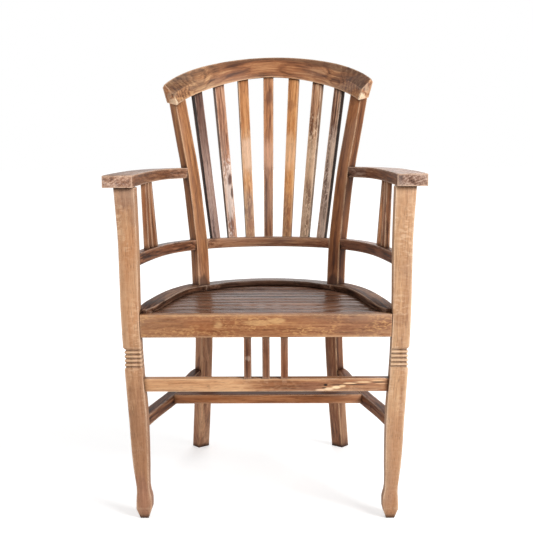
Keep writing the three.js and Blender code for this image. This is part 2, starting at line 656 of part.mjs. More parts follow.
function addBackSlats() {
  const { centre, postAngle } = backRailMiddle();
  const lowStep = (SLAT_SPREAD_SHARE * postAngle) / (BACK_SLATS + 1);
  const highStep = (2 * CREST_POST_ANGLE) / (BACK_SLATS + 1);
  const grownCrest = crestBlank(2 * CLEARANCE);
  for (let slat = 0; slat < BACK_SLATS; slat += 1) {
    const place = slat - (BACK_SLATS - 1) / 2;
    const name = `back_slat_${slat + 1}`;
    const lowAngle = place * lowStep;
    const highAngle = place * highStep;
    const { bottom } = crestEdges(highAngle);
    const foot = new THREE.Vector3(0, centre, BACK_RAIL_TOP + CLEARANCE)
      .addScaledVector(turned(QUARTER_TURN - lowAngle), BACK_RAIL_RADIUS);
    const head = crestPoint(highAngle, bottom);
    const way = new THREE.Vector3().subVectors(head, foot).normalize();
    const tip = head.clone().addScaledVector(way, CREST_THICKNESS / 2);
    const lowSide = turned(-lowAngle);
    const highSide = turned(-highAngle);
    const lowBack = new THREE.Vector3().crossVectors(UP, lowSide);
    const highBack = new THREE.Vector3().crossVectors(UP, highSide);
    put(name, loft([
      ring(foot, lowSide, lowBack, BACK_SLAT_WIDTH_LOW, BACK_SLAT_THICKNESS),
      ring(tip, highSide, highBack, BACK_SLAT_WIDTH_HIGH, BACK_SLAT_THICKNESS),
    ]));
    cut(name, grownCrest);
    tenon(name, 'crest_rail', head, way, highSide, THIN_TENON);
    tenon(name, 'lower_back_rail', foot, way.clone().negate(), lowSide, THIN_TENON);
  }
}

function addCrest() {
  put('crest_rail', crestBlank());
  const cap = crestCap();
  for (const [name, side] of Object.entries(SIDES)) {
    const post = `rear_post_${name}`;
    const { bottom } = crestEdges(side * CREST_POST_ANGLE);
    const head = postAxis(side, bottom - CLEARANCE);
    const way = new THREE.Vector3().subVectors(head, postAxis(side, bottom - POST_WIDTH)).normalize();
    cut(post, cap);
    tenon(post, 'crest_rail', head, way, turned(-side * POST_TURN), POST_TENON);
  }
}

// Arms, as [share of the half span, share of the way back to the post, share of the arm's width]
const armShares = [
  [0.905, 0, 1], [0.902, 0.12, 1], [0.89, 0.38, 0.99], [0.868, 0.55, 0.92], [0.833, 0.7, 0.82],
  [0.768, 0.86, 0.66],
];
const ARM_STEPS = 22;

function armKnots(side) {
  const { point, out } = postFace(side, 1, ARM_BOTTOM + ARM_THICKNESS);
  const inside = point.clone().addScaledVector(out, -POST_WIDTH / 2);
  return [
    ...armShares.map(([x, y, width]) => [
      side * x * ARM_HALF_SPAN, y * (point.y + ARM_FRONT_OVERHANG) - ARM_FRONT_OVERHANG, width * ARM_WIDTH,
    ]),
    [point.x, point.y, POST_DEPTH],
    [inside.x, inside.y, POST_DEPTH],
  ];
}

const armUnderside = (share) => ARM_BOTTOM + ARM_RISE * Math.sin((share * Math.PI) / 2);

function armBlank(side, grow = 0) {
  const topAt = (share) => armUnderside(share) + ARM_THICKNESS;
  return planBar(armKnots(side), ARM_STEPS, (share) => armUnderside(share) - grow, topAt);
}

// Arm lower rails, as [share of the half width, share of the seat's depth]
const armRailShares = [[1.05, 0.02], [1.03, 0.12], [0.995, 0.28], [0.955, 0.42], [0.9, 0.55], [0.815, 0.67]];

function armRailKnots(side) {
  const { point, out } = postFace(side, 1, (ARM_RAIL_BOTTOM + ARM_RAIL_TOP) / 2);
  const inside = point.clone().addScaledVector(out, -POST_WIDTH / 2);
  return [
    ...armRailShares.map(([x, y]) => [side * x * SEAT_HALF_WIDTH, y * SEAT_DEPTH, ARM_RAIL_WIDTH]),
    [point.x, point.y, ARM_RAIL_WIDTH],
    [inside.x, inside.y, ARM_RAIL_WIDTH],
  ];
}

// The knot of a bar at a given distance back, found along its curve
function knotAt(knots, back) {
  const curve = new THREE.CatmullRomCurve3(knots.map((knot) => new THREE.Vector3(...knot)));
  const share = shareWhere(curve, ({ y }) => y < back);
  return { ...curve.getPoint(share), share };
}

function addArms() {
  for (const [name, side] of Object.entries(SIDES)) {
    const arm = `arm_${name}`;
    const rail = `arm_lower_rail_${name}`;
    const leg = `front_leg_${name}`;
    const post = `rear_post_${name}`;
    put(arm, armBlank(side));
    cut(arm, postSlot(side));
    cut(arm, legBlank(side, 2 * CLEARANCE, 2 * CLEARANCE));
    const legTop = new THREE.Vector3(side * (LEG_FOOT_OUT + LEG_SPLAY), LEG_WIDTH / 2, LEG_HEIGHT);
    tenon(leg, arm, legTop, UP, RIGHT, ARM_TENON);
    const armMiddle = ARM_BOTTOM + ARM_RISE + ARM_THICKNESS / 2;
    const armEnd = postFace(side, 1, armMiddle);
    tenon(arm, post, armEnd.point.addScaledVector(armEnd.out, CLEARANCE), armEnd.out.negate(), UP,
      THIN_TENON);

    put(rail, planBar(armRailKnots(side), RAIL_STEPS, level(ARM_RAIL_BOTTOM), level(ARM_RAIL_TOP)));
    cut(rail, postSlot(side));
    const middle = (ARM_RAIL_BOTTOM + ARM_RAIL_TOP) / 2;
    cut(rail, legBlank(side, 2 * CLEARANCE, 2 * CLEARANCE));
    cut(rail, box(
      new THREE.Vector3(-ARM_HALF_SPAN, -LEG_WIDTH, 0),
      new THREE.Vector3(ARM_HALF_SPAN, LEG_WIDTH, LEG_HEIGHT),
    ));
    const legBack = new THREE.Vector3(side * legOut(middle), LEG_WIDTH, middle);
    tenon(rail, leg, legBack, BACK.clone().negate(), UP, THIN_TENON);
    const railEnd = postFace(side, 1, middle);
    tenon(rail, post, railEnd.point.addScaledVector(railEnd.out, CLEARANCE), railEnd.out.negate(), UP,
      THIN_TENON);
    addArmSpindles(name, side);
  }
}

function addArmSpindles(name, side) {
  const arm = armBlank(side, CLEARANCE);
  for (let spindle = 0; spindle < SPINDLES; spindle += 1) {
    const back = ARM_SPINDLE_FIRST_BACK + spindle * ARM_SPINDLE_PITCH;
    const low = knotAt(armRailKnots(side), back);
    const high = knotAt(armKnots(side), back);
    const foot = new THREE.Vector3(low.x, low.y, ARM_RAIL_TOP + CLEARANCE);
    const inner = high.x - side * (high.z / 2 - ARM_SPINDLE_INSET);
    const head = new THREE.Vector3(inner, high.y, armUnderside(high.share));
    const way = new THREE.Vector3().subVectors(head, foot).normalize();
    const tip = head.clone().addScaledVector(way, ARM_THICKNESS / 2);
    const piece = `arm_spindle_${name}_${spindle + 1}`;
    put(piece, loft([foot, tip].map((point) => (
      ring(point, RIGHT, BACK, ARM_SPINDLE_WIDTH, ARM_SPINDLE_WIDTH)))));
    cut(piece, arm);
    tenon(piece, `arm_${name}`, head, way, RIGHT, SPINDLE_TENON);
    tenon(piece, `arm_lower_rail_${name}`, foot, way.negate(), RIGHT, SPINDLE_TENON);
  }
}

// Front stretcher and the spindles between it and the front seat rail
function addFrontStretcher() {
  const middle = (FRONT_STRETCHER_BOTTOM + FRONT_STRETCHER_TOP) / 2;
  const half = legOut(middle);
  const front = (LEG_WIDTH - FRONT_STRETCHER_DEPTH) / 2;
  put('front_stretcher', box(
    new THREE.Vector3(-half, front, FRONT_STRETCHER_BOTTOM),
    new THREE.Vector3(half, front + FRONT_STRETCHER_DEPTH, FRONT_STRETCHER_TOP),
  ));
  for (const [name, side] of Object.entries(SIDES)) {
    cut('front_stretcher', legBlank(side, 2 * CLEARANCE, 2 * CLEARANCE));
    const inner = half - (LEG_BAND_SHARE * LEG_WIDTH) / 2;
    const face = new THREE.Vector3(side * inner, LEG_WIDTH / 2, middle);
    tenon('front_stretcher', `front_leg_${name}`, face, RIGHT.clone().multiplyScalar(side), UP, THIN_TENON);
  }
}

function addFrontSpindles() {
  const back = FRONT_RAIL_SETBACK + FRONT_RAIL_DEPTH / 2;
  const bottom = FRONT_STRETCHER_TOP + CLEARANCE;
  const top = RAIL_BOTTOM - CLEARANCE;
  for (let spindle = 0; spindle < SPINDLES; spindle += 1) {
    const x = (spindle - (SPINDLES - 1) / 2) * SPINDLE_PITCH;
    const name = `front_spindle_${spindle + 1}`;
    const foot = new THREE.Vector3(x, back, bottom);
    const head = new THREE.Vector3(x, back, top);
    put(name, loft([foot, head].map((point) => ring(point, RIGHT, BACK, SPINDLE_WIDTH, SPINDLE_DEPTH))));
    tenon(name, 'front_seat_rail', head, UP, RIGHT, SPINDLE_TENON);
    tenon(name, 'front_stretcher', foot, UP.clone().negate(), RIGHT, SPINDLE_TENON);
  }
}

// Side stretchers, as [share of the way out from the post to the leg, share of the way back to the post]
const sideStretcherShares = [[1, 0], [0.8, 0.2], [0.5, 0.46], [0.22, 0.74], [0, 1]];

const sideStretcherFront = SIDE_STRETCHER_BOTTOM + SIDE_STRETCHER_HEIGHT / 2;
const sideStretcherUnder = (share) => SIDE_STRETCHER_BOTTOM + SIDE_STRETCHER_RISE * share;
const sideStretcherOver = (share) => sideStretcherUnder(share)
  + THREE.MathUtils.lerp(SIDE_STRETCHER_HEIGHT, SIDE_STRETCHER_REAR_HEIGHT, share);

function sideStretcherKnots(side) {
  const { point, out } = postFace(side, 1, sideStretcherFront + SIDE_STRETCHER_RISE);
  const front = new THREE.Vector2(side * legOut(sideStretcherFront), LEG_WIDTH / 2);
  const knots = sideStretcherShares.map(([x, y]) => [
    point.x + x * (front.x - point.x), front.y + y * (point.y - front.y), SIDE_STRETCHER_WIDTH,
  ]);
  const inside = point.clone().addScaledVector(out, -POST_WIDTH / 2);
  return [...knots, [inside.x, inside.y, SIDE_STRETCHER_WIDTH]];
}

function addSideStretchers() {
  for (const [name, side] of Object.entries(SIDES)) {
    const piece = `side_stretcher_${name}`;
    const knots = sideStretcherKnots(side);
    put(piece, planBar(knots, RAIL_STEPS, sideStretcherUnder, sideStretcherOver));
    cut(piece, postSlot(side));
    cut(piece, legBlank(side, 2 * CLEARANCE, 2 * CLEARANCE));
    cut(piece, box(
      new THREE.Vector3(-ARM_HALF_SPAN, -LEG_WIDTH, 0),
      new THREE.Vector3(ARM_HALF_SPAN, LEG_WIDTH * LEG_SHOULDER_SHARE, LEG_HEIGHT),
    ));
    const legX = side * legOut(sideStretcherFront);
    const legBack = new THREE.Vector3(legX, LEG_WIDTH * LEG_SHOULDER_SHARE, sideStretcherFront);
    tenon(piece, `front_leg_${name}`, legBack, BACK.clone().negate(), UP, THIN_TENON);
    const end = postFace(side, 1, sideStretcherFront + SIDE_STRETCHER_RISE);
    tenon(piece, `rear_post_${name}`, end.point.addScaledVector(end.out, CLEARANCE), end.out.negate(), UP,
      THIN_TENON);
  }
}

function addCrossStretcher() {
  const { x, z: width } = knotAt(sideStretcherKnots(1), CROSS_STRETCHER_BACK);
  const half = x - width / 2;
  const top = CROSS_STRETCHER_BOTTOM + CROSS_STRETCHER_HEIGHT;
  put('cross_stretcher', box(
    new THREE.Vector3(-x, CROSS_STRETCHER_BACK - CROSS_STRETCHER_DEPTH / 2, CROSS_STRETCHER_BOTTOM),
    new THREE.Vector3(x, CROSS_STRETCHER_BACK + CROSS_STRETCHER_DEPTH / 2, top),
  ));
  const middle = CROSS_STRETCHER_BOTTOM + CROSS_STRETCHER_HEIGHT / 2;
  for (const [name, side] of Object.entries(SIDES)) {
    const knots = sideStretcherKnots(side).map(([kx, ky, kw]) => [kx, ky, kw + 2 * CLEARANCE]);
    cut('cross_stretcher', planBar(knots, RAIL_STEPS, level(0), level(SEAT_TOP)));
    const face = new THREE.Vector3(side * half, CROSS_STRETCHER_BACK, middle);
    tenon('cross_stretcher', `side_stretcher_${name}`, face, RIGHT.clone().multiplyScalar(side), BACK,
      THIN_TENON);
  }
}

addFrontLegs();
addRearPosts();
addSeatRails();
joinSeatRails();
addSeatSlats();
addSeatBearer();
addBackRail();
addCrest();
addBackSlats();
addArms();
addFrontStretcher();
addFrontSpindles();
addSideStretchers();
addCrossStretcher();

// Colours of the old teak, by the start of a piece's name
const woodColours = {
  front_leg: 0x9a6a41,
  rear_post: 0x93623a,
  crest_rail: 0x8a5c39,
  back_slat: 0x8c5e40,
  lower_back_rail: 0x805440,
  arm_spindle: 0x93643f,
  arm_lower_rail: 0x7c5238,
  arm_: 0x84583c,
  front_seat_rail: 0x96653a,
  seat_bearer: 0x7c543a,
  seat_slat: 0x6f5046,
  side_seat_rail: 0x74533f,
  rear_seat_rail: 0x74533f,
  front_stretcher: 0x9a6c44,
  front_spindle: 0x8a5a39,
  side_stretcher: 0x7d5336,
  cross_stretcher: 0x85582f,
};

function woodOf(name) {
  const key = Object.keys(woodColours).find((start) => name.startsWith(start));
  return new THREE.MeshStandardMaterial({ color: woodColours[key], roughness: 0.55, metalness: 0 });
}

const chair = new THREE.Group();
for (const [name, solid] of pieces) {
  const mesh = new THREE.Mesh(geometryOf(solid), woodOf(name));
  mesh.name = name;
  chair.add(mesh);
}
const bounds = new THREE.Box3().setFromObject(chair);
const middleOfChair = bounds.getCenter(new THREE.Vector3());
chair.position.set(-middleOfChair.x, -middleOfChair.y, -bounds.min.z);

export default chair;
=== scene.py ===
"""An old teak armchair with a fanned slat back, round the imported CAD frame. Metres, +Z up, faces -Y."""
import json
import math
import random

import bpy
import numpy as np
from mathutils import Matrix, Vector

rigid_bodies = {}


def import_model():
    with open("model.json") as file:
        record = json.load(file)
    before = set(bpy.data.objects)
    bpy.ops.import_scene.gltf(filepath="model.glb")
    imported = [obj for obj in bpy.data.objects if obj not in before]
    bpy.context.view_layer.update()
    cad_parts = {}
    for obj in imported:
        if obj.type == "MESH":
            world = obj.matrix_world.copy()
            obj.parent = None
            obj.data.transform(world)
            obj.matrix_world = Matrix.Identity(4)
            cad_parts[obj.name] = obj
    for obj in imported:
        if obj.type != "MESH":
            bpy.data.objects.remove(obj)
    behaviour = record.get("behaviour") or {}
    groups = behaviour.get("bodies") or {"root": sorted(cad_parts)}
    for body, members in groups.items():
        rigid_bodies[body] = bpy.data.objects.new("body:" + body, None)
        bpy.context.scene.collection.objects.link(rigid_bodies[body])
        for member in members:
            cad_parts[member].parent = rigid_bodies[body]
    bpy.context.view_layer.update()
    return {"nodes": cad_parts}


for old in list(bpy.data.objects):
    bpy.data.objects.remove(old)

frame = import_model()
nodes = frame["nodes"]
scene = bpy.context.scene
scene.view_settings.view_transform = "Standard"
SEED = 7
draw = random.Random(SEED)

MM = 0.001
MIX_A, MIX_B, MIX_RESULT = 6, 7, 2  # the colour sockets of a mix node


def linear(rgb):
    """Linear colour from display values of 0 to 255."""
    parts = [value / 255 for value in rgb]
    return [p / 12.92 if p <= 0.04045 else ((p + 0.055) / 1.055) ** 2.4 for p in parts] + [1.0]


class Tree:
    """Adds nodes to a material or world in few words. An input is a number, a tuple or a node's output."""

    def __init__(self, owner):
        owner.use_nodes = True
        self.nodes = owner.node_tree.nodes
        self.links = owner.node_tree.links
        self.nodes.clear()

    def put(self, kind, inputs=None, **settings):
        node = self.nodes.new(kind)
        for key, value in settings.items():
            setattr(node, key, value)
        for key, value in (inputs or {}).items():
            self.feed(node.inputs[key], value)
        return node

    def feed(self, socket, value):
        if isinstance(value, bpy.types.NodeSocket):
            self.links.new(value, socket)
        else:
            socket.default_value = value

    def math(self, operation, a, b=0.0, c=0.0):
        return self.put("ShaderNodeMath", {0: a, 1: b, 2: c}, operation=operation).outputs[0]

    def off(self, value, centre):
        """How far a value lies from a centre."""
        return self.math("ABSOLUTE", self.math("SUBTRACT", value, centre))

    def vector(self, operation, a, b=(0, 0, 0)):
        node = self.put("ShaderNodeVectorMath", {0: a, 1: b}, operation=operation)
        return node.outputs[1 if operation in ("DOT_PRODUCT", "LENGTH") else 0]

    def noise(self, place, scale, detail=3.0, rough=0.55, warp=0.0):
        stretched = self.vector("MULTIPLY", place, scale)
        node = self.put("ShaderNodeTexNoise", {
            "Vector": stretched, "Scale": 1.0, "Detail": detail, "Roughness": rough, "Distortion": warp})
        return node.outputs["Fac"]

    def spread(self, value, low, high, out_low=0.0, out_high=1.0, smooth=False):
        """Takes low to high over to out_low to out_high. Many constants are these numbers in a row."""
        node = self.put("ShaderNodeMapRange", {
            "Value": value, "From Min": low, "From Max": high, "To Min": out_low, "To Max": out_high})
        node.interpolation_type = "SMOOTHSTEP" if smooth else "LINEAR"
        return node.outputs["Result"]

    def ease(self, value, low, high, out_low=0.0, out_high=1.0):
        """The same as spread, with soft ends."""
        return self.spread(value, low, high, out_low, out_high, smooth=True)

    def ramp(self, value, stops):
        node = self.put("ShaderNodeValToRGB", {"Fac": value})
        band = node.color_ramp
        while len(band.elements) < len(stops):
            band.elements.new(0.5)
        for element, (place, colour) in zip(band.elements, stops):
            element.position = place
            element.color = linear(colour)
        return node.outputs["Color"]

    def mix(self, factor, a, b, blend="MIX"):
        node = self.put("ShaderNodeMix", data_type="RGBA", blend_type=blend, clamp_factor=True)
        self.feed(node.inputs["Factor"], factor)
        self.feed(node.inputs[MIX_A], a)
        self.feed(node.inputs[MIX_B], b)
        return node.outputs[MIX_RESULT]


def value_for(table, name, default=None):
    """The table's value at the first key that the piece's name starts with."""
    return next((table[key] for key in table if name.startswith(key)), default)


def corners_of(name):
    return np.array([corner.co for corner in nodes[name].data.vertices])


# The way of the grain in each piece
MOSTLY_Y = 0.8  # a grain that leans more than this towards Y is measured off X


def grain_frame(name):
    """The grain's way, then the two ways across it, from the spread of the node's own corners."""
    points = corners_of(name)
    middle = (points.max(0) + points.min(0)) / 2
    _, ways = np.linalg.eigh(np.cov((points - points.mean(0)).T))
    along = ways[:, 2]
    along = along * (1 if along[np.abs(along).argmax()] > 0 else -1)
    hint = np.array([0.0, 1.0, 0.0]) if abs(along[1]) < MOSTLY_Y else np.array([1.0, 0.0, 0.0])
    across = np.cross(along, hint)
    across /= np.linalg.norm(across)
    return [Vector(w) for w in (along, across, np.cross(across, along))], Vector(middle)


# Pieces whose grain follows their bend
BENT = ("rear_post", "crest_rail", "arm_l", "arm_r", "lower_back_rail", "side_seat_rail", "rear_seat_rail",
        "side_stretcher", "front_leg")
STATIONS = 9
STATION_REACH = 0.75  # as a share of the way between two stations
LEAST_BEND = MM


def straighten(tree, name, along, way, middle, u, value):
    """Takes the bend of the piece's middle line off one of the ways across the grain."""
    points = corners_of(name) - np.array(middle)
    far = points @ np.array(along)
    side = points @ np.array(way)
    low, high = far.min(), far.max()
    step = (high - low) / (STATIONS - 1)
    middles = []
    for station in range(STATIONS):
        near = side[np.abs(far - low - station * step) < STATION_REACH * step]
        middles.append((near.min() + near.max()) / 2 if len(near) else middles[-1])
    least, most = min(middles), max(middles)
    if most - least < LEAST_BEND:
        return value
    node = tree.put("ShaderNodeFloatCurve", {"Value": tree.spread(u, low, high)})
    curve = node.mapping.curves[0]
    curve.points[0].location = (0, (middles[0] - least) / (most - least))
    curve.points[1].location = (1, (middles[-1] - least) / (most - least))
    for station in range(1, STATIONS - 1):
        curve.points.new(station / (STATIONS - 1), (middles[station] - least) / (most - least))
    node.mapping.update()
    bend = tree.math("MULTIPLY_ADD", node.outputs[0], float(most - least), float(least))
    return tree.math("SUBTRACT", value, bend)


# Teak as display values: dark grain, body, light grain
TONES = {
    "front_leg_left": ((142, 98, 70), (184, 141, 108), (212, 174, 142)),
    "front_leg_right": ((150, 106, 77), (196, 155, 121), (222, 187, 153)),
    "rear_post": ((104, 64, 42), (172, 118, 78), (204, 150, 104)),
    "crest_rail": ((92, 56, 38), (160, 106, 72), (204, 154, 112)),
    "lower_back_rail": ((88, 54, 38), (146, 100, 74), (190, 144, 112)),
    "arm_spindle": ((88, 56, 40), (150, 100, 70), (190, 142, 106)),
    "arm_lower_rail": ((62, 38, 28), (122, 80, 57), (170, 122, 94)),
    "arm_": ((80, 50, 36), (138, 94, 69), (190, 150, 122)),
    "front_seat_rail": ((106, 64, 40), (152, 101, 68), (192, 145, 102)),
    "seat_bearer": ((70, 46, 34), (118, 80, 60), (150, 110, 84)),
    "seat_slat": ((66, 38, 26), (114, 74, 55), (170, 126, 101)),
    "side_seat_rail": ((62, 40, 30), (107, 75, 59), (152, 118, 97)),
    "rear_seat_rail": ((52, 34, 26), (90, 63, 50), (136, 104, 88)),
    "front_stretcher": ((140, 96, 66), (198, 150, 112), (228, 186, 146)),
    "front_spindle": ((76, 46, 32), (122, 79, 56), (156, 110, 82)),
    "side_stretcher": ((62, 38, 28), (118, 78, 57), (164, 120, 92)),
    "cross_stretcher": ((108, 66, 42), (172, 114, 78), (206, 150, 108)),
    "back_slat_1": ((40, 24, 20), (78, 52, 44), (126, 92, 82)),
    "back_slat_2": ((126, 80, 58), (190, 138, 110), (214, 170, 142)),
    "back_slat_3": ((138, 84, 48), (200, 140, 92), (226, 178, 130)),
    "back_slat_4": ((116, 72, 50), (186, 130, 92), (210, 160, 122)),
    "back_slat_5": ((128, 78, 44), (198, 136, 86), (226, 172, 118)),
    "back_slat_6": ((116, 76, 54), (190, 140, 108), (226, 190, 158)),
    "back_slat_7": ((118, 78, 60), (202, 156, 130), (230, 196, 170)),
}

# A second set of tones towards one end of a piece: tones, the axis, and where along it the change runs in mm
BLENDS = {
    "back_slat_1": (((60, 40, 35), (118, 90, 81), (166, 138, 128)), 2, 830, 730),
    "back_slat_3": (((76, 54, 44), (136, 104, 90), (172, 140, 124)), 2, 680, 610),
    "back_slat_4": (((106, 68, 50), (178, 128, 98), (208, 158, 124)), 2, 692, 666),
    "back_slat_5": (((104, 68, 48), (160, 110, 82), (196, 148, 112)), 2, 690, 610),
    "back_slat_6": (((94, 66, 52), (166, 130, 107), (212, 182, 158)), 2, 840, 720),
    "back_slat_7": (((100, 76, 67), (186, 162, 150), (218, 200, 190)), 2, 860, 780),
    "front_stretcher": (((88, 53, 34), (150, 100, 69), (194, 147, 108)), 0, -80, 20),
    "front_leg_left": (((126, 86, 62), (176, 130, 100), (206, 166, 136)), 2, 620, 680),
    "front_leg_right": (((122, 83, 58), (168, 123, 91), (200, 156, 122)), 2, 90, 40),
    "front_seat_rail": (((98, 60, 41), (138, 92, 67), (178, 132, 98)), 0, 40, 170),
    "rear_post_left": (((116, 78, 60), (192, 142, 112), (222, 178, 146)), 2, 520, 440),
    "rear_post_right": (((96, 63, 46), (164, 116, 86), (204, 156, 120)), 2, 520, 440),
}

# Marks of age: piece, centre, radii across x, y and z, colour, strength, raggedness; lengths in mm
MARKS = [
    ("back_slat_2", (-93, 170, 655), (18, 60, 95), (234, 212, 198), 0.75, 0.7),
    ("back_slat_2", (-95, 174, 690), (7, 30, 19), (96, 58, 44), 0.95, 0.25),
    ("back_slat_2", (-88, 167, 660), (6, 30, 22), (78, 46, 36), 1.0, 0.2),
    ("back_slat_2", (-83, 160, 632), (4, 30, 16), (112, 72, 56), 0.9, 0.3),
    ("back_slat_3", (-50, 215, 748), (22, 60, 66), (230, 192, 162), 0.75, 0.5),
    ("back_slat_4", (1, 262, 892), (16, 40, 26), (110, 64, 44), 0.7, 0.7),
    ("back_slat_4", (1, 222, 742), (24, 60, 62), (206, 158, 128), 0.8, 0.6),
    ("back_slat_5", (50, 217, 752), (22, 60, 68), (234, 184, 140), 0.8, 0.4),
    ("back_slat_5", (58, 252, 872), (16, 40, 18), (150, 96, 62), 0.6, 0.6),
    ("back_slat_6", (104, 190, 735), (16, 60, 84), (216, 180, 146), 0.6, 0.9),
    ("back_slat_6", (113, 208, 822), (12, 30, 16), (104, 68, 50), 0.35, 0.7),
    ("back_slat_7", (157, 158, 752), (14, 50, 50), (216, 186, 160), 0.65, 0.8),
    ("crest_rail", (-224, 128, 876), (20, 7, 13), (232, 198, 162), 0.75, 0.4),
    ("crest_rail", (-236, 131, 893), (8, 7, 12), (204, 164, 130), 0.5, 0.5),
    ("crest_rail", (226, 127, 884), (15, 7, 15), (240, 212, 178), 0.9, 0.35),
    ("crest_rail", (238, 131, 905), (9, 7, 14), (214, 176, 142), 0.6, 0.5),
    ("crest_rail", (128, 255, 972), (44, 40, 7), (96, 60, 42), 0.6, 0.8),
    ("crest_rail", (186, 206, 936), (34, 40, 14), (112, 74, 54), 0.45, 0.8),
    ("front_seat_rail", (-96, -298, 411), (12, 20, 10), (214, 168, 116), 0.6, 0.7),
    ("front_seat_rail", (-16, -298, 415), (34, 20, 8), (208, 162, 112), 0.65, 0.6),
    ("front_seat_rail", (24, -298, 418), (22, 20, 8), (212, 168, 116), 0.6, 0.6),
    ("front_leg_left", (-272, -302, 672), (34, 20, 38), (134, 98, 78), 0.6, 0.8),
    ("front_leg_left", (-260, -302, 630), (12, 20, 24), (150, 110, 86), 0.5, 0.8),
    ("front_leg_left", (-258, -302, 150), (60, 60, 190), (154, 107, 76), 0.75, 0.5),
    ("front_leg_left", (-256, -302, 40), (60, 60, 66), (156, 110, 88), 0.6, 0.5),
    ("front_leg_right", (266, -302, 130), (60, 60, 170), (174, 126, 92), 0.5, 0.5),
    ("crest_rail", (-172, 205, 922), (52, 50, 18), (134, 98, 74), 0.35, 0.8),
    ("rear_post_left", (-160, 89, 596), (26, 30, 60), (140, 96, 68), 0.45, 0.8),
    ("rear_post_left", (-171, 160, 100), (9, 80, 110), (222, 172, 132), 0.6, 0.5),
    ("rear_post_left", (-164, 82, 270), (5, 50, 60), (214, 164, 126), 0.6, 0.5),
    ("rear_post_right", (190, 170, 90), (16, 80, 110), (244, 196, 152), 0.75, 0.4),
    ("front_leg_right", (272, -302, 420), (26, 20, 20), (150, 104, 72), 0.4, 0.8),
    ("rear_post_left", (-158, 62, 450), (24, 40, 22), (74, 50, 40), 0.75, 0.5),
    ("rear_post_right", (158, 62, 450), (24, 40, 22), (70, 46, 36), 0.75, 0.5),
    ("front_stretcher", (92, -292, 281), (34, 20, 12), (128, 82, 62), 0.5, 0.6),
    ("front_stretcher", (196, -292, 288), (52, 20, 9), (150, 98, 68), 0.55, 0.5),
    ("front_stretcher", (146, -292, 285), (22, 20, 2.6), (70, 42, 32), 0.75, 0.3),
    ("front_stretcher", (188, -292, 285), (30, 20, 1.8), (62, 36, 26), 0.95, 0.3),
    ("front_stretcher", (230, -292, 290), (20, 20, 2.0), (58, 34, 26), 1.0, 0.25),
    ("front_stretcher", (236, -292, 287), (16, 20, 1.4), (218, 170, 126), 0.8, 0.3),
    ("front_stretcher", (172, -292, 287.5), (18, 20, 1.9), (236, 196, 152), 0.9, 0.25),
    ("front_stretcher", (200, -292, 290), (20, 20, 2.2), (238, 198, 150), 0.95, 0.25),
    ("front_stretcher", (228, -292, 293), (18, 20, 2.0), (226, 182, 134), 0.9, 0.25),
    ("front_stretcher", (129, -292, 275.5), (13, 20, 4.2), (238, 206, 168), 0.95, 0.35),
    ("front_stretcher", (143, -292, 279), (13, 20, 4.6), (240, 208, 166), 0.95, 0.35),
    ("front_stretcher", (156, -292, 282), (9, 20, 3.4), (232, 192, 146), 0.9, 0.3),
    ("front_stretcher", (112, -292, 273.8), (13, 20, 2.6), (228, 190, 154), 0.9, 0.35),
    ("front_stretcher", (122, -292, 284), (6, 20, 3.6), (26, 16, 12), 1.0, 0.35),
    ("front_stretcher", (119, -292, 278.5), (6, 20, 1.8), (40, 24, 18), 0.9, 0.35),
    ("side_stretcher_right", (224, -170, 206), (5, 6, 5), (36, 24, 20), 0.9, 0.3),
    ("front_spindle_1", (-38, -290, 340), (10, 10, 7), (190, 160, 140), 0.5, 0.8),
]

# Curly figure: piece, colour, strength, fineness, and for some the heights in mm between which it fades in
CURLS = {
    "front_seat_rail": ((214, 162, 106), 0.6, (110, 260, 260)),
    "back_slat_1": ((190, 160, 150), 0.6, (60, 420, 420), 770, 690),
    "back_slat_2": ((246, 228, 216), 0.95, (75, 260, 260), 770, 720),
    "back_slat_3": ((236, 192, 150), 0.4, (70, 260, 260), 830, 800),
    "back_slat_5": ((236, 182, 124), 0.45, (70, 240, 240)),
    "back_slat_6": ((238, 206, 174), 0.85, (120, 230, 230), 870, 820),
    "back_slat_7": ((236, 208, 188), 0.8, (120, 260, 260), 830, 790),
    "front_stretcher": ((226, 182, 138), 0.3, (110, 260, 260)),
    "front_leg_left": ((226, 188, 152), 0.55, (190, 70, 70)),
    "front_leg_right": ((232, 200, 168), 0.42, (190, 70, 70)),
    "arm_left": ((196, 164, 142), 0.3, (110, 260, 260)),
}

# Painted light and shade on faces by the way they look: piece, the way the face looks, colour factors
FACE_LIGHT_AND_SHADE = [
    ("rear_post_left", (-1.0, -0.2, 0.0), (0.80, 0.74, 0.70)),
    ("rear_post_right", (1.0, -0.2, 0.0), (0.50, 0.43, 0.41)),
    ("rear_post_right", (-1.0, -0.2, 0.0), (0.80, 0.72, 0.70)),
    ("crest_rail", (0.0, 0.0, 1.0), (0.42, 0.38, 0.36)),
    ("crest_rail", (-1.0, 0.0, 0.0), (1.2, 1.35, 1.5)),
    ("crest_rail", (1.0, 0.0, 0.0), (1.3, 1.6, 1.8)),
    ("arm_left", (0.0, -1.0, 0.0), (1.42, 1.70, 2.10)),
    ("arm_left", (0.0, 0.0, 1.0), (0.8, 0.76, 0.7)),
    ("arm_right", (0.0, -1.0, 0.0), (0.98, 1.25, 1.70)),
    ("arm_right", (-1.0, 0.0, 0.0), (0.84, 0.78, 0.76)),
    ("arm_left", (1.0, 0.0, 0.0), (0.84, 0.76, 0.68)),
    ("arm_lower_rail_right", (-1.0, -0.3, 0.0), (0.75, 0.68, 0.66)),
    ("arm_lower_rail_left", (1.0, -0.3, 0.0), (0.94, 0.9, 0.86)),
    ("cross_stretcher", (0.0, 0.0, 1.0), (0.34, 0.28, 0.27)),
    ("side_stretcher_left", (0.0, 0.0, 1.0), (0.62, 0.54, 0.52)),
    ("side_stretcher_right", (0.0, 0.0, 1.0), (0.62, 0.54, 0.52)),
    ("side_stretcher_right", (-1.0, 0.0, 0.0), (0.92, 0.84, 0.8)),
]

